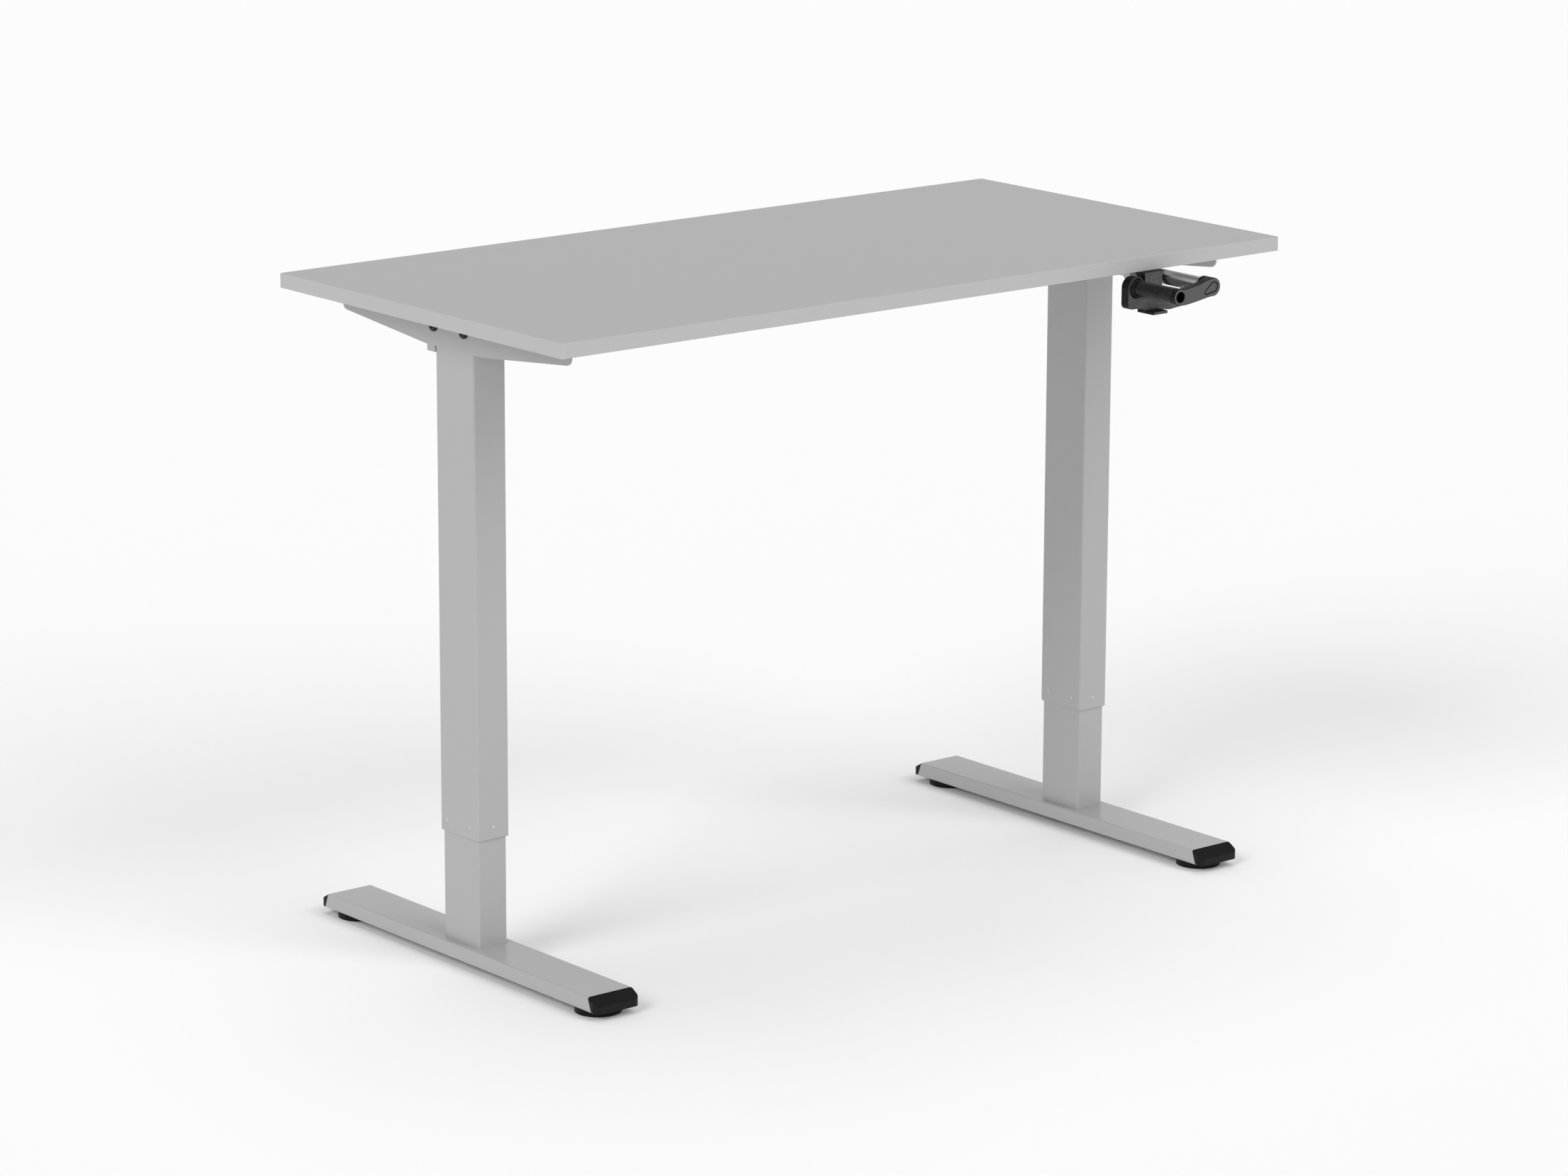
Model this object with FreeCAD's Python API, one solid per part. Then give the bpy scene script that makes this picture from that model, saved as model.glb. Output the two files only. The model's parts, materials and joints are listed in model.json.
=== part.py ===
import FreeCAD, Part
import os
from math import cos, sin, radians, sqrt

V = FreeCAD.Vector
X, Y, Z = V(1, 0, 0), V(0, 1, 0), V(0, 0, 1)

# ---- driving dimensions, mm: +X right, +Y to the back, +Z up, floor at z = 0 ----
desk_height = 866.5            # worktop surface above the floor, at rest
board_l, board_d, board_t = 1200.0, 600.0, 19.0
board_edge_r, board_corner_r = 1.0, 2.0

column_x = 517.6               # column centres, left and right of the middle
outer_l, outer_w, outer_wall, outer_r = 80.0, 50.0, 1.5, 3.0
inner_l, inner_w, inner_wall, inner_r = 75.0, 45.0, 1.5, 3.0
outer_bottom = 173.5           # lower end of the outer tube at rest
inner_top = 645.0
slide_gap = 0.3                # clearance of the plastic guides
guide_h = 40.0
peg_z, peg_y, peg_r = 189.3, 24.0, 1.5

foot_w, foot_h, foot_wall, foot_r = 70.0, 20.0, 2.0, 3.0
foot_bottom = 9.9
foot_steel_y, foot_low_y = 282.0, 289.4    # half length of the steel tube, above and below
foot_tip_y = 300.0             # half length with the end caps
cap_nose_h, cap_corner_r, cap_edge_r = 10.0, 9.0, 1.4
glide_y, glide_r, glide_h = 258.0, 30.0, 9.5
stud_r, stud_top = 4.0, 24.0

sheet = 3.0                    # side bracket
bracket_half, bracket_depth, bracket_tip_depth = 241.0, 42.6, 24.5
bracket_flat_half, bracket_end_r = 60.0, 9.0
tab_w, tab_start = 40.0, 62.0
housing_in, housing_front, housing_back = 484.0, -40.0, 57.0
housing_lip_h = 8.4
bracket_bolt_y, bracket_bolt_drop = (42.0, -22.0), 17.0

shaft_drop = 12.0              # shaft axes below the underside of the worktop
gear_teeth, gear_slant, gear_face = 16, 12.16, 4.56
gear_tip_deg, gear_root_deg = 49.2, 40.8
hub_r, hex_af = 7.0, 8.0
run = 0.06                     # radial clearance of turning parts
spindle_r, journal_r, nut_r = 8.0, 6.0, 14.0
spindle_low = 272.0

beam_front, beam_back, beam_wall, beam_h = -36.0, 53.0, 2.0, 39.0
beam_overlap = 60.0
crank_x = 392.0
box_left, box_right = 374.0, 422.0     # crank gearbox, in x
box_front, box_back = -30.0, 14.0      # and in y

crank_tube_r, crank_tube_wall = 9.75, 1.5
crank_front, arm_t, boss_t, arm_end_r = -393.0, 10.3, 20.0, 12.2
grip_x, grip_z_drop, grip_end = 333.2, 19.1, -311.5
grip_front_r, grip_back_r, grip_axle_r, grip_bore_r = 11.1, 10.6, 8.9, 7.5
ring_t, ring_r = 7.5, 10.9
cap_groove, cap_depth = 1.5, 3.0       # open groove round the cap, and its depth
snap_ring_t, snap_ring_r = 6.0, 11.7
# arm edges beside the shaft axis, as (x, z) from that axis
arm_top_edge = ((-4.0, 11.5), (-15.8, 9.4), (-23.2, 7.2), (-30.6, 5.6), (-42.0, 3.8),
                (-54.0, 2.2), (-60.0, 1.2))
arm_low_edge = ((3.0, -11.8), (-8.4, -12.7), (-23.2, -15.1), (-38.0, -17.2), (-50.0, -18.5),
                (-58.0, -18.1), (-64.0, -16.0))

holder_front, holder_t = -310.0, 13.5
upright_x = (347.3, 378.4)             # upright of the parking block
pocket_r, pocket_depth, pocket_rim = 13.5, 8.0, 1.2
lip_x, lip_reach, lip_z = (345.8, 372.8), 19.0, (793.8, 797.2)
ear_t = 3.0                            # screw ears and flanges of the plastic blocks
ear_screw_y = -8.0
bearing_front, bearing_t = -256.0, 16.0
bearing_half, bearing_low_half, bearing_depth = 26.0, 13.0, 26.0
bearing_flange_half, bearing_screw_dx = 36.0, 31.0

board_under = desk_height - board_t
shaft_z = board_under - shaft_drop
grip_z = board_under - grip_z_drop
tube_top = board_under - bracket_depth


# ---- shape helpers ----
def box(x0, x1, y0, y1, z0, z1):
    return Part.makeBox(x1 - x0, y1 - y0, z1 - z0, V(x0, y0, z0))


def rod(start, axis, length, r, bore=0.0):
    solid = Part.makeCylinder(r, length, start, axis)
    return solid.cut(Part.makeCylinder(bore, length, start, axis)) if bore else solid


def rounded_bar(cx, cy, length_y, width_x, r, z0, z1):
    """Upright bar with rounded corners, centred on (cx, cy)."""
    bar = box(cx - width_x / 2, cx + width_x / 2, cy - length_y / 2, cy + length_y / 2, z0, z1)
    return bar.makeFillet(r, [e for e in bar.Edges if abs(e.tangentAt(0).z) > 0.99])


def upright_tube(cx, length_y, width_x, wall, r, z0, z1):
    outer = rounded_bar(cx, 0, length_y, width_x, r, z0, z1)
    return outer.cut(rounded_bar(cx, 0, length_y - 2 * wall, width_x - 2 * wall, r - wall, z0, z1))


def hex_bar(start, axis, length, across):
    """Hexagonal bar with a pair of flats facing up and down."""
    side = Z if abs(axis.z) < 0.5 else X
    other = axis.cross(side)
    r = across / sqrt(3)
    pts = [start + (other * cos(radians(60 * k)) + side * sin(radians(60 * k))) * r for k in range(7)]
    return Part.Face(Part.makePolygon(pts)).extrude(axis * length)


def plate_xz(points, y0, y1):
    """Plate cut to an outline given as (x, z) corners."""
    pts = [V(x, y0, z) for x, z in points]
    return Part.Face(Part.makePolygon(pts + pts[:1])).extrude(Y * (y1 - y0))


def fillet_where(solid, r, wanted):
    """Rounds the edges whose middle point passes the test."""
    def middle(e):
        return e.valueAt((e.FirstParameter + e.LastParameter) / 2)
    return solid.makeFillet(r, [e for e in solid.Edges if wanted(e, middle(e))])


def along(e, axis):
    if len(e.Vertexes) != 2:
        return False
    direction = (e.Vertexes[1].Point - e.Vertexes[0].Point).normalize()
    return abs(direction.dot(axis)) > 0.999


def sided(solid, side):
    """The left-hand shape itself, or its mirror image for the right."""
    return solid if side < 0 else solid.mirror(V(0, 0, 0), X)


# ---- worktop and its screws ----
def screw_points():
    """(x, y) of every screw that goes up into the worktop, with the height of its head seat."""
    tab = board_under - sheet
    flange = board_under - beam_wall
    ear = board_under - ear_t
    bearing_y = bearing_front + bearing_t / 2
    points = [(s * (column_x + 2), y, tab) for s in (-1, 1) for y in (-205, -95, 95, 205)]
    points += [(x, y, flange) for x in (-400, -150, 150, 330) for y in (beam_front - 7, beam_back + 7)]
    points += [(x, ear_screw_y, ear) for x in (box_left - 6, box_right + 6)]
    points += [(x, -275, ear) for x in (354, 371)]
    points += [(crank_x + s * bearing_screw_dx, bearing_y, ear) for s in (-1, 1)]
    return points


def worktop():
    top = box(-board_l / 2, board_l / 2, -board_d / 2, board_d / 2, board_under, desk_height)
    top = fillet_where(top, board_corner_r, lambda e, m: along(e, Z))
    top = fillet_where(top, board_edge_r, lambda e, m: abs(m.z - desk_height) < 0.01)
    for x, y, _ in screw_points():
        top = top.cut(rod(V(x, y, board_under), Z, 12.0, 2.0))
    return top


def worktop_screws():
    screws = []
    for x, y, seat in screw_points():
        head = Part.makeCone(2.6, 4.2, 2.4, V(x, y, seat - 2.4), Z)
        screws.append(head.fuse(rod(V(x, y, seat), Z, board_under + 12.0 - seat, 2.0)).removeSplitter())
    return Part.makeCompound(screws)


# ---- side brackets, head housings ----
def side_bracket(side):
    x_out, x_in = -column_x - outer_w / 2 - 0.4, -column_x - outer_w / 2 - 0.4 + sheet
    low, tip = board_under - bracket_depth, board_under - bracket_tip_depth
    outline = [(-bracket_half, board_under), (-bracket_half, tip), (-bracket_flat_half, low),
               (bracket_flat_half, low), (bracket_half, tip), (bracket_half, board_under)]
    pts = [V(x_out, y, z) for y, z in outline]
    flange = Part.Face(Part.makePolygon(pts + pts[:1])).extrude(X * sheet)
    flange = fillet_where(flange, bracket_end_r,
                          lambda e, m: along(e, X) and abs(m.z - tip) < 0.1)
    for y in bracket_bolt_y:
        flange = flange.cut(rod(V(x_out, y, board_under - bracket_bolt_drop), X, sheet, stud_r))
    for s in (-1, 1):
        y0, y1 = sorted((s * tab_start, s * bracket_half))
        tab = box(x_in, x_in + tab_w, y0, y1, board_under - sheet, board_under)
        tab = fillet_where(tab, 8.0, lambda e, m: along(e, Z) and m.x > x_in + 1)
        flange = flange.fuse(tab)
    for x, y, seat in screw_points():
        if x < -column_x and seat == board_under - sheet:
            flange = flange.cut(rod(V(x, y, seat), Z, sheet, 2.0))
    return sided(flange.removeSplitter(), side)


def head_housing(side):
    """Gear housing on top of a column; its back drops behind the tube as a lip."""
    x_out = -column_x - outer_w / 2 - 0.4 + sheet
    body = box(x_out, -housing_in, housing_front, housing_back, tube_top, board_under)
    body = body.fuse(box(x_out - sheet, -housing_in - 8.4, outer_l / 2 + 0.4, housing_back,
                         tube_top - housing_lip_h, tube_top))
    body = body.cut(box(-531, -housing_in - 6, -25, 25, tube_top + 4.6, board_under - 1.5))
    body = body.cut(rod(V(-column_x, 0, tube_top), Z, 6.0, journal_r + run))
    for y in bracket_bolt_y:
        body = body.cut(rod(V(x_out, y, board_under - bracket_bolt_drop), X, 8.0, stud_r))
    body = sided(body.removeSplitter(), side)
    if side < 0:
        return body.cut(rod(V(-housing_in - 7, 0, shaft_z), X, 8.0, hub_r + run))
    body = body.cut(rod(V(housing_in - 1, 0, shaft_z), X, 8.0, hex_af / sqrt(3) + run))
    return body.cut(rod(V(530, 0, shaft_z), X, 9.6, hub_r + run))


def bracket_bolts(side):
    """Two button-head bolts through the flange into the housing."""
    x_face = -column_x - outer_w / 2 - 0.4
    bolts = []
    for y in bracket_bolt_y:
        z = board_under - bracket_bolt_drop
        head = rod(V(x_face - 4.2, y, z), X, 4.2, 7.5)
        head = fillet_where(head, 2.6, lambda e, m: abs(m.x - x_face + 4.2) < 0.01)
        head = head.cut(hex_bar(V(x_face - 4.2, y, z), X, 2.4, 5.0))
        bolts.append(head.fuse(rod(V(x_face, y, z), X, sheet + 8.0, stud_r)))
    return sided(Part.makeCompound(bolts), side)


# ---- telescopic columns ----
def outer_tube(side):
    x = side * column_x
    tube = upright_tube(x, outer_l, outer_w, outer_wall, outer_r, outer_bottom, tube_top)
    return tube.cut(Part.makeCompound(pegs(side, 0.0)))


def pegs(side, proud):
    """Moulded pegs that hold the lower guide in the outer tube."""
    x, half_x, half_y = side * column_x, outer_w / 2, outer_l / 2
    depth = outer_wall + proud
    made = [rod(V(x + s * (half_x - outer_wall), y, peg_z), X * s, depth, peg_r)
            for s in (-1, 1) for y in (-peg_y, peg_y)]
    return made + [rod(V(x, s * (half_y - outer_wall), peg_z), Y * s, depth, peg_r) for s in (-1, 1)]


def lower_guide(side):
    """Plastic collar inside the mouth of the outer tube."""
    x = side * column_x
    bore_l, bore_w = inner_l + 2 * slide_gap, inner_w + 2 * slide_gap
    out_l, out_w = outer_l - 2 * outer_wall, outer_w - 2 * outer_wall
    collar = rounded_bar(x, 0, out_l, out_w, outer_r - outer_wall, outer_bottom, outer_bottom + guide_h)
    collar = collar.cut(rounded_bar(x, 0, bore_l, bore_w, inner_r, outer_bottom, outer_bottom + guide_h))
    return collar.fuse(pegs(side, 0.5)).removeSplitter()


def inner_tube(side):
    low = foot_bottom + foot_h
    return upright_tube(side * column_x, inner_l, inner_w, inner_wall, inner_r, low, inner_top)


def upper_guide(side):
    """Plastic collar around the top of the inner tube."""
    x = side * column_x
    out_l = outer_l - 2 * outer_wall - 2 * slide_gap
    out_w = outer_w - 2 * outer_wall - 2 * slide_gap
    collar = rounded_bar(x, 0, out_l, out_w, inner_r, inner_top - guide_h, inner_top)
    return collar.cut(rounded_bar(x, 0, inner_l, inner_w, inner_r, inner_top - guide_h, inner_top))


def nut_plate(side):
    """Steel plate welded in the top of the inner tube, carrying the nut."""
    x = side * column_x
    plate = rounded_bar(x, 0, inner_l - 2 * inner_wall, inner_w - 2 * inner_wall,
                        inner_r - inner_wall, inner_top - 8, inner_top - 2)
    return plate.cut(rod(V(x, 0, inner_top - 8), Z, 6.0, nut_r))


def spindle_nut(side):
    x = side * column_x
    nut = rod(V(x, 0, inner_top - 35), Z, 33.0, nut_r)
    nut = nut.fuse(rod(V(x, 0, inner_top - 2), Z, 4.0, nut_r + 4)).removeSplitter()
    return nut.cut(rod(V(x, 0, inner_top - 35), Z, 37.0, spindle_r + run))


def thrust_bearings(side):
    """Race, cage and race under the floor of the head housing."""
    x, top = side * column_x, tube_top
    races = rod(V(x, 0, top - 2.5), Z, 2.5, 13.0).fuse(rod(V(x, 0, top - 9), Z, 2.5, 13.0))
    return races.fuse(rod(V(x, 0, top - 6.5), Z, 4.0, 11.8)).cut(
        rod(V(x, 0, top - 9), Z, 9.0, journal_r + run))


def spindle(side):
    """Lifting screw, hung in the head housing, with an end stop below."""
    x, shoulder = side * column_x, tube_top - 9.3
    screw = rod(V(x, 0, spindle_low), Z, shoulder - spindle_low, spindle_r)
    stop = rod(V(x, 0, spindle_low), Z, 4.0, spindle_r + 3)
    journal = rod(V(x, 0, shoulder), Z, shaft_z - 7.0 - shoulder, journal_r)
    return screw.fuse([stop, journal]).removeSplitter()


# ---- mitre gears and shafts ----
def mitre_gear(axis, toward, tooth_there, back_end):
    """Sixteen-tooth mitre gear, its cone's point at the origin, growing along axis.

    A tooth, or else a gap, points toward the mating gear. The hub ends at back_end."""
    def polar(slant, deg):
        return slant * sin(radians(deg)), slant * cos(radians(deg))
    slants = (gear_slant - gear_face, gear_slant)
    small, large = [[polar(s, d) for d in (gear_tip_deg, gear_root_deg)] for s in slants]
    profile = [(0, small[1][1]), small[1], small[0], large[0], large[1],
               (hub_r, large[1][1]), (hub_r, back_end), (0, back_end)]
    pts = [toward * r + axis * z for r, z in profile]
    gear = Part.Face(Part.makePolygon(pts + pts[:1])).revolve(V(0, 0, 0), axis, 360)
    pitch, side = 360.0 / gear_teeth, axis.cross(toward)

    def ray(cone_deg, turn_deg):
        r, z = polar(2 * gear_slant, cone_deg)
        return (toward * cos(radians(turn_deg)) + side * sin(radians(turn_deg))) * r + axis * z
    gaps = []
    for k in range(gear_teeth):
        mid = pitch * (k + (0.5 if tooth_there else 0.0))
        ring = [ray(gear_root_deg, mid - 4.3), ray(gear_root_deg, mid + 4.3),
                ray(gear_tip_deg + 3, mid + 11.2), ray(gear_tip_deg + 3, mid - 11.2)]
        tip = V(0, 0, 0)
        faces = [Part.Face(Part.makePolygon([tip, ring[i - 1], ring[i], tip])) for i in range(4)]
        faces.append(Part.Face(Part.makePolygon(ring + ring[:1])))
        gaps.append(Part.Solid(Part.Shell(faces)))
    return gear.cut(gaps)


def cross_gear(x, hub_end):
    """Gear on the cross shaft, with its hub reaching to x = hub_end."""
    gear = mitre_gear(X, -Z, True, hub_end - x)
    gear.translate(V(x, 0, shaft_z))
    return gear.cut(hex_bar(V(x, 0, shaft_z), X, hub_end - x, hex_af))


def cross_gear_left():
    return cross_gear(-column_x, -482.0)


def cross_gear_middle():
    return cross_gear(crank_x, box_right + 1.0)


def cross_gear_right():
    return cross_gear(column_x, 538.5)


def cross_shaft():
    return hex_bar(V(-column_x + 8.6, 0, shaft_z), X, 2 * column_x + 8.6, hex_af)


def spindle_gear(side):
    back = shaft_z - tube_top - 5.1
    gear = mitre_gear(-Z, X, False, back)
    gear.translate(V(side * column_x, 0, shaft_z))
    return gear.cut(rod(V(side * column_x, 0, shaft_z - back), Z, back - 7.0, journal_r))


def drive_gear():
    gear = mitre_gear(-Y, X, False, 33.0)
    gear.translate(V(crank_x, 0, shaft_z))
    return gear.cut(hex_bar(V(crank_x, -8.6, shaft_z), -Y, 24.4, hex_af))


def drive_rod():
    return hex_bar(V(crank_x, -8.6, shaft_z), -Y, 351.0, hex_af)


def crank_gearbox():
    """Housing where the crank's rod meets the cross shaft."""
    top = board_under - 0.5
    body = box(box_left, box_right, box_front, box_back, shaft_z - 19, top)
    body = fillet_where(body, 3.0, lambda e, m: along(e, Z))
    for x0, x1 in ((box_left - 12, box_left + 4), (box_right - 4, box_right + 12)):
        ear = box(x0, x1, -17, 1, board_under - 3, board_under)
        body = body.fuse(ear)
    body = body.cut(box(box_left + 6, box_right - 8, box_front + 6, box_back - 4,
                        shaft_z - 15, board_under - 1.5))
    body = body.cut(rod(V(box_left - 1, 0, shaft_z), X, 9.0, hex_af / sqrt(3) + run))
    body = body.cut(rod(V(box_right - 9, 0, shaft_z), X, 10.0, hub_r + run))
    body = body.cut(rod(V(crank_x, box_front + 7, shaft_z), -Y, 8.0, hub_r + run))
    for x, y, seat in screw_points():
        body = body.cut(rod(V(x, y, seat - 1), Z, 5.0, 2.0))
    return body.removeSplitter()


# ---- cross beam ----
def beam_section(x0, x1, inset):
    """Open-topped channel under the worktop with outward flanges."""
    y0, y1 = beam_front + inset, beam_back - inset
    z0, z1 = board_under - beam_h + inset, board_under
    body = box(x0, x1, y0, y1, z0, z1)
    body = body.cut(box(x0, x1, y0 + beam_wall, y1 - beam_wall, z0 + beam_wall, z1))
    return body


def flanges(x0, x1):
    z0 = board_under - beam_wall
    return [box(x0, x1, beam_front - 14, beam_front + 1, z0, board_under),
            box(x0, x1, beam_back - 1, beam_back + 14, z0, board_under)]


def drilled_for_screws(body):
    for x, y, seat in screw_points():
        if seat == board_under - beam_wall:
            body = body.cut(rod(V(x, y, seat), Z, beam_wall, 2.0))
    return body


def splice_points():
    return [(x, y) for x in (-38, 38) for y in (-18, 35)]


def drilled_for_splice(body):
    for x, y in splice_points():
        body = body.cut(rod(V(x, y, board_under - beam_h), Z, 3 * beam_wall, 3.0))
    return body


def beam_left():
    body = beam_section(-housing_in, beam_overlap, 0.0)
    body = body.fuse(flanges(-housing_in, 0.0)).removeSplitter()
    return drilled_for_splice(drilled_for_screws(body))


def beam_right():
    """Starts inside the left channel, then widens to the same outside size."""
    body = beam_section(beam_overlap + 1, housing_in, 0.0)
    body = body.fuse(flanges(beam_overlap + 1, housing_in))
    body = body.fuse(beam_section(-beam_overlap, beam_overlap + 3, beam_wall)).removeSplitter()
    body = body.cut(rod(V(crank_x, beam_front + 5, shaft_z), -Y, 20.0, 9.0))
    return drilled_for_splice(drilled_for_screws(body))


def beam_bolts():
    bolts = []
    for x, y in splice_points():
        low = board_under - beam_h
        bolt = rod(V(x, y, low - 3.5), Z, 3.5, 5.5).fuse(rod(V(x, y, low), Z, 12.0, 3.0))
        bolt = bolt.fuse(hex_bar(V(x, y, low + 2 * beam_wall), Z, 5.0, 10.0))
        bolts.append(bolt.removeSplitter())
    return Part.makeCompound(bolts)


# ---- feet ----
def foot_body(x, inset, y0, y1):
    """Lying bar with rounded long edges."""
    bar = box(x - foot_w / 2 + inset, x + foot_w / 2 - inset, y0, y1,
              foot_bottom + inset, foot_bottom + foot_h - inset)
    return fillet_where(bar, max(foot_r - inset, 0.8), lambda e, m: along(e, Y))


def base_bolt_points(side):
    return [(side * column_x + dx, dy) for dx in (-11, 11) for dy in (-24, 24)]


def mitre_wedge(x, end):
    """The room beyond the slanting end of a foot's steel tube."""
    z0, z1 = foot_bottom, foot_bottom + foot_h
    profile = [(foot_steel_y, z1), (foot_low_y, z0), (foot_tip_y, z0), (foot_tip_y, z1)]
    pts = [V(x - foot_w / 2, end * y, z) for y, z in profile]
    return Part.Face(Part.makePolygon(pts + pts[:1])).extrude(X * foot_w)


def foot(side):
    x = side * column_x
    tube = foot_body(x, 0.0, -foot_low_y, foot_low_y)
    tube = tube.cut(foot_body(x, foot_wall, -foot_low_y, foot_low_y))
    for px, py in base_bolt_points(side):
        tube = tube.cut(rod(V(px, py, foot_bottom + foot_h - foot_wall), Z, foot_wall, stud_r))
        tube = tube.cut(rod(V(px, py, foot_bottom), Z, foot_wall, 8.0))
    for end in (-1, 1):
        tube = tube.cut(rod(V(x, end * glide_y, foot_bottom), Z, foot_wall, 7.0))
        tube = tube.cut(mitre_wedge(x, end))
    return tube


def foot_cap(side, end):
    """Plastic end cap: upright nose, then a slope up to the steel tube, and a plug."""
    x, z0, z1 = side * column_x, foot_bottom, foot_bottom + foot_h
    profile = [(foot_low_y, z0), (foot_tip_y, z0), (foot_tip_y, z0 + cap_nose_h), (foot_steel_y, z1)]
    pts = [V(x - foot_w / 2, end * y, z) for y, z in profile]
    cap = Part.Face(Part.makePolygon(pts + pts[:1])).extrude(X * foot_w)
    cap = fillet_where(cap, cap_corner_r, lambda e, m: along(e, Z) and abs(m.y) > foot_tip_y - 0.1)
    cap = cap.common(foot_body(x, 0.0, *sorted((end * foot_steel_y, end * foot_tip_y))))
    fall = (foot_h - cap_nose_h) / (foot_tip_y - foot_steel_y)

    def on_slope(e, m):
        height = z1 - fall * (abs(m.y) - foot_steel_y)
        return abs(m.z - height) < 0.7 and abs(m.y) > foot_steel_y + 1 and not along(e, Z)
    cap = fillet_where(cap, cap_edge_r, on_slope)
    plug = foot_body(x, foot_wall + 0.1, *sorted((end * (foot_steel_y - 12), end * foot_low_y)))
    return cap.fuse(plug.cut(mitre_wedge(x, end))).removeSplitter()


def glide_inserts(side):
    """Threaded inserts in the underside of a foot."""
    x = side * column_x
    made = [rod(V(x, s * glide_y, foot_bottom), Z, 15.0, 7.0, stud_r + run) for s in (-1, 1)]
    return Part.makeCompound(made)


def glide(side, end):
    """Round levelling glide with a rubbed-over top edge."""
    centre = V(side * column_x, end * glide_y, 0)
    disc = rod(centre, Z, glide_h, glide_r)
    disc = fillet_where(disc, 1.5, lambda e, m: abs(m.z - glide_h) < 0.01)
    return disc.cut(rod(centre + Z * 4.0, Z, glide_h, stud_r))


def glide_stud(side, end):
    start = V(side * column_x, end * glide_y, 4.0)
    return rod(start, Z, stud_top - 4.0, stud_r)


def column_bases(side):
    """Thick plate welded in the bottom of the inner tube."""
    low = foot_bottom + foot_h
    plate = rounded_bar(side * column_x, 0, inner_l - 2 * inner_wall, inner_w - 2 * inner_wall,
                        inner_r - inner_wall, low, low + 10)
    for x, y in base_bolt_points(side):
        plate = plate.cut(rod(V(x, y, low), Z, 10.0, stud_r))
    return plate


def base_bolts(side):
    seat = foot_bottom + foot_h - foot_wall
    bolts = []
    for x, y in base_bolt_points(side):
        bolt = rod(V(x, y, seat - 5), Z, 5.0, 6.5).cut(hex_bar(V(x, y, seat - 5), Z, 3.0, 6.0))
        bolts.append(bolt.fuse(rod(V(x, y, seat), Z, foot_wall + 10, stud_r)).removeSplitter())
    return Part.makeCompound(bolts)


# ---- crank ----
def crank_tube():
    start = V(crank_x, crank_front + 6, shaft_z)
    return rod(start, Y, 187.0, crank_tube_r, crank_tube_r - crank_tube_wall)


def tube_insert():
    """Plastic plug with a hexagonal hole that slides on the drive rod."""
    start = V(crank_x, -230.0, shaft_z)
    return rod(start, Y, 30.0, crank_tube_r - crank_tube_wall).cut(hex_bar(start, Y, 30.0, hex_af + 0.2))


def tapered_outline(cx0, cz0, r0, cx1, cz1, r1, y0, y1):
    """Plate bounded by two circles and the tangents between them."""
    dx, dz = cx1 - cx0, cz1 - cz0
    d = sqrt(dx * dx + dz * dz)
    ux, uz = dx / d, dz / d
    s = (r0 - r1) / d
    c = sqrt(1 - s * s)
    quad = []
    for side in (1, -1):
        nx, nz = ux * s - uz * c * side, uz * s + ux * c * side
        ends = [(cx0 + nx * r0, cz0 + nz * r0), (cx1 + nx * r1, cz1 + nz * r1)]
        quad += ends if side > 0 else ends[::-1]
    web = plate_xz(quad, y0, y1)
    return web.fuse([rod(V(cx0, y0, cz0), Y, y1 - y0, r0), rod(V(cx1, y0, cz1), Y, y1 - y0, r1)])


def cap_outline(grow, y0, y1):
    """Teardrop at the shaft end of the arm."""
    return tapered_outline(crank_x + 0.5, shaft_z + 0.3, 5.6 + grow,
                           crank_x - 12.6, shaft_z - 5.6, 2.0 + grow, y0, y1)


def arm_web(front, back):
    """Curved plate between the shaft end and the grip end of the arm."""
    edges = []
    for line in (arm_top_edge, arm_low_edge):
        curve = Part.BSplineCurve()
        curve.interpolate([V(crank_x + x, front, shaft_z + z) for x, z in line])
        edges.append(curve.toShape())
    top, low = edges
    ends = [Part.makeLine(top.Vertexes[k].Point, low.Vertexes[k].Point) for k in (0, 1)]
    return Part.Face(Part.Wire([top, ends[1], low, ends[0]])).extrude(Y * (back - front))


def crank_arm():
    front, back = crank_front, crank_front + arm_t
    arm = arm_web(front, back).fuse(rod(V(crank_x, front, shaft_z), Y, boss_t, arm_end_r))
    arm = arm.cut(rod(V(grip_x, front + ring_t, grip_z), Y, boss_t, grip_front_r + 0.7))
    arm = arm.fuse(rod(V(grip_x, front, grip_z), Y, ring_t, ring_r)).removeSplitter()
    arm = fillet_where(arm, 1.0, lambda e, m: abs(m.y - front) < 0.01)
    arm = arm.fuse(rod(V(grip_x, front + 3, grip_z), Y, grip_end - front - 3, grip_axle_r))
    arm = arm.cut(rod(V(grip_x, front, grip_z), Y, grip_end - front, grip_bore_r))
    arm = arm.cut(rod(V(crank_x, front + 6, shaft_z), Y, boss_t, crank_tube_r))
    return arm.cut(cap_outline(cap_groove, front, front + cap_depth)).removeSplitter()


def arm_cap():
    return cap_outline(0.0, crank_front + 0.1, crank_front + cap_depth).removeSplitter()


def grip():
    """Slightly tapered sleeve that turns on the arm's axle."""
    start, end = crank_front + ring_t + 0.3, grip_end - snap_ring_t - 0.3
    body = Part.makeCone(grip_front_r, grip_back_r, end - start, V(grip_x, start, grip_z), Y)
    body = fillet_where(body, 0.8, lambda e, m: len(e.Vertexes) == 1)
    return body.cut(rod(V(grip_x, start, grip_z), Y, end - start, grip_axle_r + run))


def grip_ring():
    """Stepped snap ring that keeps the grip on its axle."""
    start, step = grip_end - snap_ring_t, snap_ring_t / 4
    ring = rod(V(grip_x, start + step, grip_z), Y, snap_ring_t - step, snap_ring_r)
    ring = fillet_where(ring, 0.5, lambda e, m: len(e.Vertexes) == 1)
    ring = ring.fuse(rod(V(grip_x, start, grip_z), Y, 2 * step, snap_ring_r - 0.9))
    return ring.cut(rod(V(grip_x, start, grip_z), Y, snap_ring_t, grip_axle_r))


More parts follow.
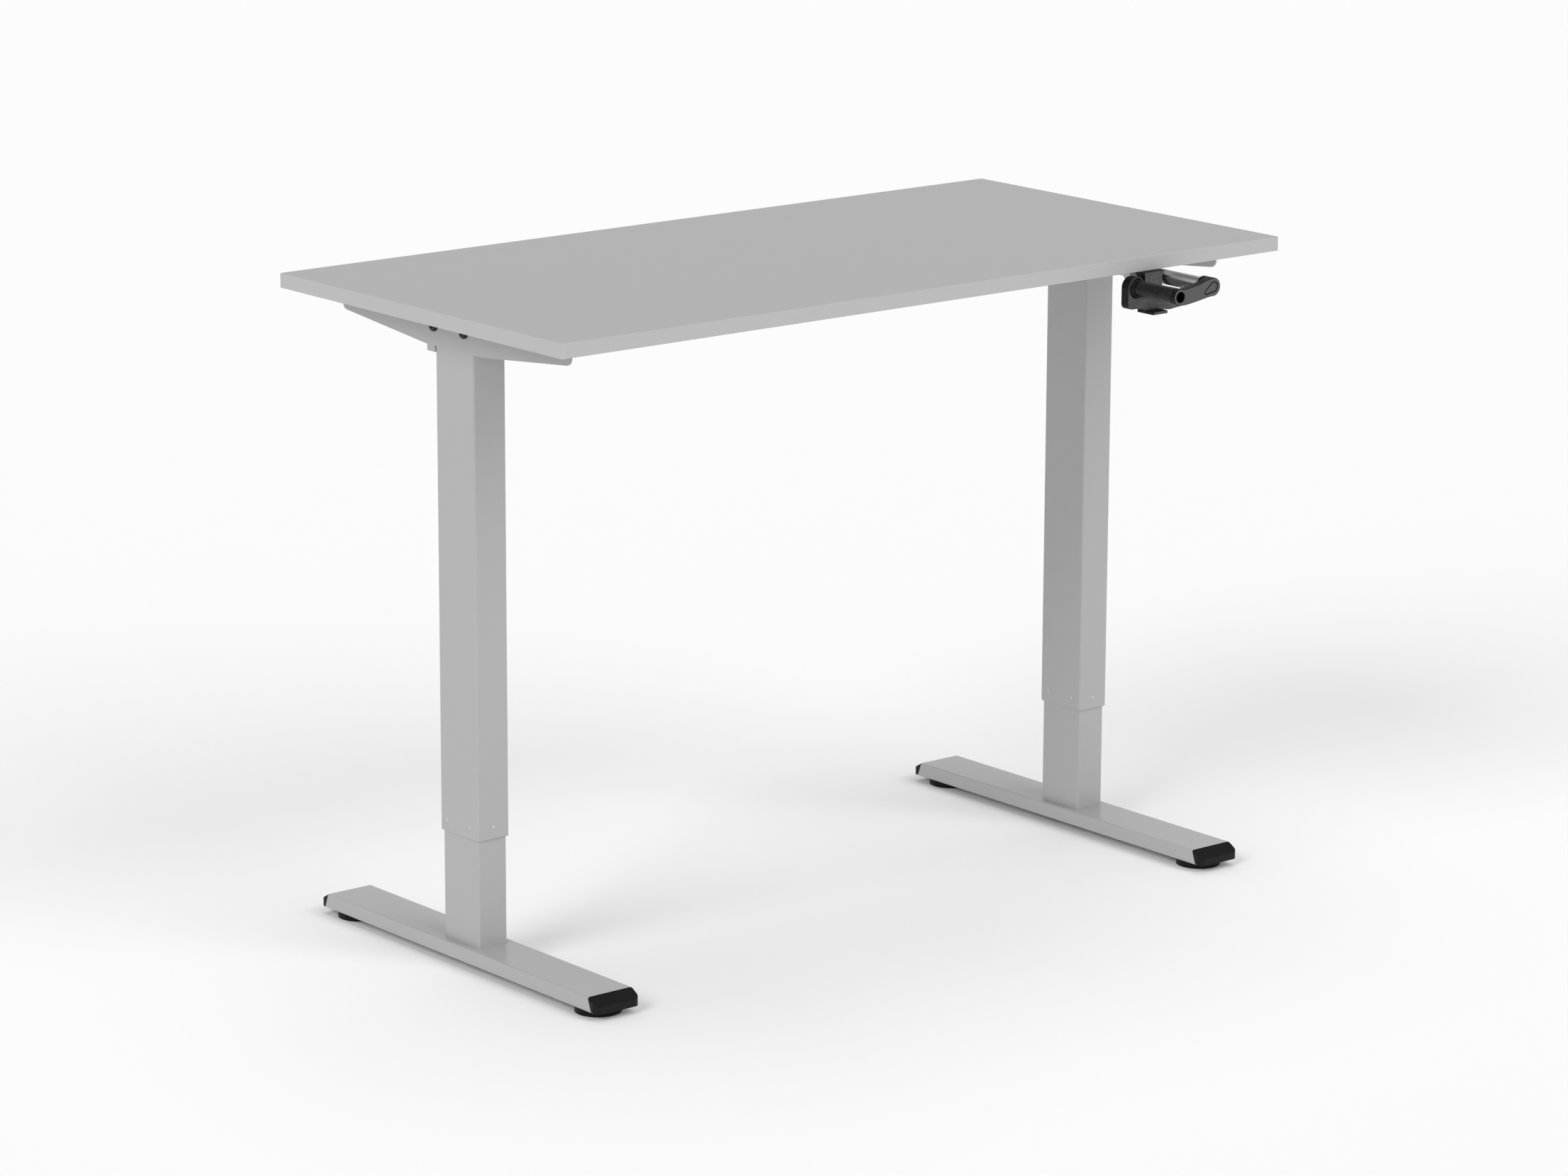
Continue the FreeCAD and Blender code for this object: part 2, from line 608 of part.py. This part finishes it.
def crank_holder():
    """Parking block: an upright under the worktop, a plate with a round pocket and a finger lip."""
    front, back = holder_front, holder_front + holder_t
    rim_r = pocket_r + pocket_rim
    left, corner_x = grip_x - rim_r, crank_x + 35
    outline = [(left, grip_z), (left, board_under - 46.5), (grip_x + 1, board_under - 46.7),
               (crank_x - 25, board_under - 50.8), (crank_x + 1, board_under - 54),
               (corner_x - 3, board_under - 51), (corner_x, board_under - 40),
               (crank_x - 5, board_under - 28), (crank_x - 13.6, board_under - 22),
               (grip_x, board_under - 10)]
    plate = plate_xz(outline, front, back)
    plate = fillet_where(plate, 7.0, lambda e, m: along(e, Y) and m.x < left + 1 and m.z < grip_z - 1)
    plate = fillet_where(plate, 4.5, lambda e, m: along(e, Y) and m.x > corner_x - 7)
    plate = plate.fuse(rod(V(grip_x, front, grip_z), Y, holder_t, rim_r))
    lip = box(*lip_x, front - lip_reach, front + 1, *lip_z)
    lip = fillet_where(lip, 3.0, lambda e, m: along(e, Z) and m.y < front - 1)
    root = box(*lip_x, front, back - 2, lip_z[0], board_under - 48)
    foot_plate = box(*upright_x, back - 3, -262, board_under - ear_t, board_under)
    top = board_under - 1.0
    upright = box(*upright_x, front, back, board_under - 40, top)
    wedge = [V(upright_x[0], y, z) for y, z in ((back, top), (back + 4, top), (back, top - 12))]
    heel = Part.Face(Part.makePolygon(wedge + wedge[:1])).extrude(X * (upright_x[1] - upright_x[0]))
    body = plate.fuse([upright, heel, lip, root, foot_plate]).removeSplitter()
    body = body.cut(rod(V(grip_x, front, grip_z), Y, pocket_depth, pocket_r))
    for x, y, seat in screw_points():
        body = body.cut(rod(V(x, y, seat), Z, 4.0, 2.0))
    return body


def tube_bearing():
    """Cast block with sloping sides, in which the crank tube turns and slides."""
    front, back = bearing_front, bearing_front + bearing_t
    outline = [(crank_x + x, board_under - z) for x, z in
               ((-bearing_half, 0), (-bearing_half, 4), (-bearing_low_half, bearing_depth),
                (bearing_low_half, bearing_depth), (bearing_half, 4), (bearing_half, 0))]
    block = plate_xz(outline, front, back)
    block = fillet_where(block, 3.0, lambda e, m: along(e, Y) and m.z < board_under - bearing_depth + 1)
    block = block.fuse(box(crank_x - bearing_flange_half, crank_x + bearing_flange_half, front, back,
                           board_under - ear_t, board_under)).removeSplitter()
    block = block.cut(rod(V(crank_x, front, shaft_z), Y, bearing_t, crank_tube_r + run))
    for x, y, seat in screw_points():
        block = block.cut(rod(V(x, y, seat), Z, 4.0, 2.0))
    return block


# ---- every node, then export ----
SIDES = (("left", -1), ("right", 1))
ENDS = (("front", -1), ("back", 1))
PER_SIDE = (side_bracket, head_housing, outer_tube, lower_guide, inner_tube, upper_guide,
            nut_plate, spindle_nut, spindle, spindle_gear, foot)
PAIRED = (bracket_bolts, thrust_bearings, glide_inserts, column_bases, base_bolts)
PER_CORNER = (foot_cap, glide, glide_stud)
SINGLE = (worktop, worktop_screws, cross_gear_left, cross_gear_middle, cross_gear_right,
          cross_shaft, drive_gear, drive_rod, crank_gearbox, beam_left, beam_right, beam_bolts,
          crank_tube, tube_insert, crank_arm, arm_cap, grip, grip_ring, crank_holder, tube_bearing)

os.makedirs("parts", exist_ok=True)
nodes = {make.__name__: make() for make in SINGLE}
nodes.update({make.__name__: Part.makeCompound(make(-1).Solids + make(1).Solids) for make in PAIRED})
for name, side in SIDES:
    nodes.update({f"{make.__name__}_{name}": make(side) for make in PER_SIDE})
    for end_name, end in ENDS:
        nodes.update({f"{make.__name__}_{name}_{end_name}": make(side, end) for make in PER_CORNER})
for node, shape in nodes.items():
    shape.exportStep(f"parts/{node}.step")
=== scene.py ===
"""Looks for a hand-cranked height adjustable desk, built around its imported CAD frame."""
import json
from math import radians

import bpy
from mathutils import Euler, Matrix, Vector


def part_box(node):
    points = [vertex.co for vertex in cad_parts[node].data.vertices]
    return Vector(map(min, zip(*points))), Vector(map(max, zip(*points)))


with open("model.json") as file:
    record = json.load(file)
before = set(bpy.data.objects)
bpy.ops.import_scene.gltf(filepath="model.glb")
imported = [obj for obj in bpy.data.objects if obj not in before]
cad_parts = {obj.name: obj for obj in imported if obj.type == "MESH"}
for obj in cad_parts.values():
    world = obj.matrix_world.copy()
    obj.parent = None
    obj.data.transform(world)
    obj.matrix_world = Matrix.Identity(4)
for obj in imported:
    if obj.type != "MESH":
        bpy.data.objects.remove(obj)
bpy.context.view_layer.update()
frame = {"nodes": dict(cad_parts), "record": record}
nodes = frame["nodes"]

BAND_THICKNESS = 0.0008        # of the plastic band round the board, in metres
FLOOR_SIZE = 80                # metres, wide enough to reach past every view of the desk
MIX_FIRST, MIX_SECOND, MIX_RESULT = 6, 7, 2      # colour sockets of a Mix node


# ---- materials ----
def finish_material(name, colour, roughness, metallic=0.0, specular=0.5):
    """A plain finish; the pattern functions below add to its node tree."""
    material = bpy.data.materials.new(name)
    material.use_nodes = True
    shader = material.node_tree.nodes["Principled BSDF"]
    shader.inputs["Base Color"].default_value = (*colour, 1.0)
    shader.inputs["Roughness"].default_value = roughness
    shader.inputs["Metallic"].default_value = metallic
    shader.inputs["Specular IOR Level"].default_value = specular
    return material


def object_noise(material, scale, detail, stretch=(1, 1, 1)):
    """Noise in the desk's own frame, so that a pattern stays put on every piece."""
    tree = material.node_tree
    place = tree.nodes.new("ShaderNodeTexCoord")
    mapping = tree.nodes.new("ShaderNodeMapping")
    mapping.inputs["Scale"].default_value = stretch
    noise = tree.nodes.new("ShaderNodeTexNoise")
    noise.inputs["Scale"].default_value = scale
    noise.inputs["Detail"].default_value = detail
    tree.links.new(place.outputs["Object"], mapping.inputs["Vector"])
    tree.links.new(mapping.outputs["Vector"], noise.inputs["Vector"])
    return noise.outputs["Fac"]


def math_node(material, operation, *values):
    """One step of arithmetic on sockets and numbers."""
    tree = material.node_tree
    step = tree.nodes.new("ShaderNodeMath")
    step.operation = operation
    for k, value in enumerate(values):
        if isinstance(value, (int, float)):
            step.inputs[k].default_value = value
        else:
            tree.links.new(value, step.inputs[k])
    return step.outputs["Value"]


def colour_ramp(material, fac, low, high, start=0.35, end=0.65):
    """Turns a noise into a run between two colours."""
    tree = material.node_tree
    ramp = tree.nodes.new("ShaderNodeValToRGB")
    ends = ramp.color_ramp.elements
    ends[0].position, ends[1].position = start, end
    ends[0].color, ends[1].color = (*low, 1.0), (*high, 1.0)
    tree.links.new(fac, ramp.inputs["Fac"])
    return ramp.outputs["Color"]


def vary(material, socket, fac, low, high, start=0.35, end=0.65):
    """Drives one shader input between two values or colours with a noise."""
    if not isinstance(low, tuple):
        low, high = (low,) * 3, (high,) * 3
    tree = material.node_tree
    colour = colour_ramp(material, fac, low, high, start, end)
    tree.links.new(colour, tree.nodes["Principled BSDF"].inputs[socket])


def relief(material, fac, strength, distance):
    """Raises the surface a little where the noise is high."""
    tree = material.node_tree
    bump = tree.nodes.new("ShaderNodeBump")
    bump.inputs["Strength"].default_value = strength
    bump.inputs["Distance"].default_value = distance
    tree.links.new(fac, bump.inputs["Height"])
    tree.links.new(bump.outputs["Normal"], tree.nodes["Principled BSDF"].inputs["Normal"])


def split_axes(tree, coordinate):
    """The X, Y and Z of one kind of coordinate, as sockets."""
    place = tree.nodes.new("ShaderNodeTexCoord")
    split = tree.nodes.new("ShaderNodeSeparateXYZ")
    tree.links.new(place.outputs[coordinate], split.inputs["Vector"])
    return split.outputs


def two_tone(material, share):
    """Lets a share from 0 to 1 choose between two base colours, and hands back the Mix node."""
    tree = material.node_tree
    mix = tree.nodes.new("ShaderNodeMix")
    mix.data_type = "RGBA"
    tree.links.new(share, mix.inputs["Factor"])
    base_colour = tree.nodes["Principled BSDF"].inputs["Base Color"]
    tree.links.new(mix.outputs[MIX_RESULT], base_colour)
    return mix


def melamine():
    """Fine-grained light grey board with a plastic edge banding round it; the banding is real,
    but its paler tone is painted light standing for the brighter lit edges of the board.
    """
    material = finish_material("light grey melamine", (0.385,) * 3, 0.4, specular=0.35)
    grain = object_noise(material, 900, 2)
    tree = material.node_tree
    face = colour_ramp(material, grain, (0.372,) * 3, (0.392,) * 3)
    # paler colour for the edge banding: painted light for the brighter lit edges
    edge_band_painted_light = colour_ramp(material, grain, (0.44,) * 3, (0.455,) * 3)
    at = split_axes(tree, "Object")
    board_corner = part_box("worktop")[1]
    past_edge = []
    for axis, edge in (("X", board_corner[0]), ("Y", board_corner[1])):
        offset = math_node(material, "ABSOLUTE", at[axis])
        past_edge.append(math_node(material, "GREATER_THAN", offset, edge - BAND_THICKNESS))
    mix = two_tone(material, math_node(material, "MAXIMUM", *past_edge))
    tree.links.new(face, mix.inputs[MIX_FIRST])
    tree.links.new(edge_band_painted_light, mix.inputs[MIX_SECOND])
    relief(material, object_noise(material, 1400, 3), 0.1, 0.0004)
    return material


def powder_coat():
    material = finish_material("light grey powder coat", (0.40,) * 3, 0.3)
    vary(material, "Base Color", object_noise(material, 900, 2), (0.396,) * 3, (0.404,) * 3)
    relief(material, object_noise(material, 650, 2), 0.03, 0.0004)
    return material


def satin_black():
    material = finish_material("satin black plastic", (0.006, 0.006, 0.0065), 0.34, specular=0.16)
    grain = object_noise(material, 1600, 3)
    vary(material, "Base Color", grain, (0.004, 0.004, 0.0045), (0.014, 0.014, 0.015), 0.4, 0.65)
    relief(material, grain, 0.25, 0.0004)
    return material


def spark_black_with_painted_sheen():
    """Moulded black with the grain of a spark-eroded tool; on the flat faces turned to the front
    or back that grain is pale, partly the grain itself and partly painted sheen of the front
    light, while the other sides stay smooth and dark.
    """
    # the pale grey of the speckle is partly the tool's grain and partly painted sheen
    dark, pale = (0.03, 0.03, 0.031), (0.155, 0.155, 0.157)
    material = finish_material("spark-eroded black plastic with painted sheen", dark, 0.42, specular=0.14)
    tree = material.node_tree
    grain = object_noise(material, 1150, 5)
    speckle_and_sheen = colour_ramp(material, grain, dark, pale, 0.34, 0.66)
    # only faces turned to the front or back get the pale speckle: painted sheen of the front
    # light
    sheen_facing = math_node(material, "ABSOLUTE", split_axes(tree, "Normal")["Y"])
    sheen_share = tree.nodes.new("ShaderNodeMapRange")
    sheen_share.inputs["From Min"].default_value = 0.86
    sheen_share.inputs["From Max"].default_value = 0.99
    tree.links.new(sheen_facing, sheen_share.inputs["Value"])
    mix = two_tone(material, sheen_share.outputs["Result"])
    mix.inputs[MIX_FIRST].default_value = (0.004, 0.004, 0.0045, 1)
    tree.links.new(speckle_and_sheen, mix.inputs[MIX_SECOND])
    relief(material, grain, 0.25, 0.0004)
    return material


def grip_black():
    material = finish_material("smooth black grip", (0.005, 0.005, 0.0055), 0.36, specular=0.22)
    vary(material, "Base Color", object_noise(material, 160, 2), (0.004,) * 3, (0.012,) * 3)
    relief(material, object_noise(material, 700, 2), 0.06, 0.0003)
    return material


def glide_black():
    material = finish_material("black glide", (0.006, 0.006, 0.006), 0.42, specular=0.12)
    vary(material, "Base Color", object_noise(material, 900, 2), (0.004,) * 3, (0.011,) * 3)
    relief(material, object_noise(material, 900, 2), 0.1, 0.0003)
    return material


def waxy_white():
    material = finish_material("waxy off-white plastic", (0.62, 0.61, 0.58), 0.45)
    vary(material, "Roughness", object_noise(material, 300, 2), 0.4, 0.5)
    return material


def zinc_plate():
    material = finish_material("zinc plate", (0.55, 0.56, 0.58), 0.32, metallic=1.0)
    vary(material, "Roughness", object_noise(material, 260, 3), 0.24, 0.42)
    return material


def crank_chrome():
    material = finish_material("bright plated tube", (0.58, 0.58, 0.59), 0.28, metallic=1.0)
    vary(material, "Roughness", object_noise(material, 500, 2, (1, 0.05, 1)), 0.25, 0.31)
    return material


def black_oxide():
    material = finish_material("black oxide steel", (0.006, 0.006, 0.006), 0.34, specular=0.3)
    vary(material, "Roughness", object_noise(material, 800, 2), 0.3, 0.4)
    return material


def machined_brass():
    material = finish_material("machined brass", (0.62, 0.42, 0.14), 0.3, metallic=1.0)
    vary(material, "Roughness", object_noise(material, 900, 2, (1, 1, 8)), 0.24, 0.38)
    return material


FINISHES = {
    "worktop_melamine": melamine(),
    "frame_paint": powder_coat(),
    "cap_plastic": satin_black(),
    "crank_plastic": spark_black_with_painted_sheen(),
    "grip_plastic": grip_black(),
    "glide_plastic": glide_black(),
    "guide_plastic": waxy_white(),
    "gear_plastic": waxy_white(),
    "bright_steel": zinc_plate(),
    "crank_chrome": crank_chrome(),
    "black_steel": black_oxide(),
    "nut_brass": machined_brass(),
}


def dress_nodes():
    """Gives every CAD node the finish that its material slot names."""
    for part in frame["record"]["subparts"]:
        piece = nodes[part["node"]]
        piece.data.materials.clear()
        piece.data.materials.append(FINISHES[part["material_slot"]])


# ---- studio ----
def sky_lamp(name, azimuth, height, strength, spread, shows_in_gloss):
    """A far soft lamp; angles in degrees, azimuth turning from the front to the right."""
    light = bpy.data.lights.new(name, "SUN")
    light.energy = strength
    light.angle = radians(spread)
    lamp = bpy.data.objects.new(name, light)
    lamp.rotation_euler = Euler((radians(90 - height), 0, radians(azimuth)), "XYZ")
    lamp.visible_glossy = shows_in_gloss
    bpy.context.scene.collection.objects.link(lamp)


def sky():
    """Bright round the horizon and dim overhead, so that gloss has something to show."""
    world = bpy.data.worlds.new("studio")
    world.use_nodes = True
    tree = world.node_tree
    ramp = tree.nodes.new("ShaderNodeValToRGB")
    low, high = ramp.color_ramp.elements
    low.position, low.color = 0.30, (1, 1, 1, 1)
    high.position, high.color = 0.75, (0.16, 0.16, 0.16, 1)
    tree.links.new(split_axes(tree, "Generated")["Z"], ramp.inputs["Fac"])
    tree.links.new(ramp.outputs["Color"], tree.nodes["Background"].inputs["Color"])
    tree.nodes["Background"].inputs["Strength"].default_value = 0.85
    bpy.context.scene.world = world


def studio():
    bpy.ops.mesh.primitive_plane_add(size=FLOOR_SIZE, location=(0, 0, 0))
    floor = bpy.context.active_object
    floor.name = "floor"
    pale = finish_material("pale floor", (0.95,) * 3, 0.9, specular=0.0)
    floor.data.materials.append(pale)
    sky()
    sky_lamp("left lamp", -78, 36, 1.15, 30, True)
    sky_lamp("front lamp", 14, 42, 1.1, 40, False)
    sky_lamp("overhead lamp", 150, 74, 0.75, 50, False)
    bpy.context.scene.view_settings.view_transform = "Standard"


def camera():
    """A long lens from the front left, looking down a little."""
    lens = bpy.data.cameras.new("camera")
    lens.sensor_width = 36.0
    lens.lens = 125.48
    eye = bpy.data.objects.new("camera", lens)
    eye.location = (-4.4876, -5.4469, 2.1387)
    eye.rotation_euler = Euler((radians(90 - 13.713), radians(-0.234), radians(-39.386)), "XYZ")
    bpy.context.scene.collection.objects.link(eye)
    bpy.context.scene.camera = eye


dress_nodes()
studio()
camera()
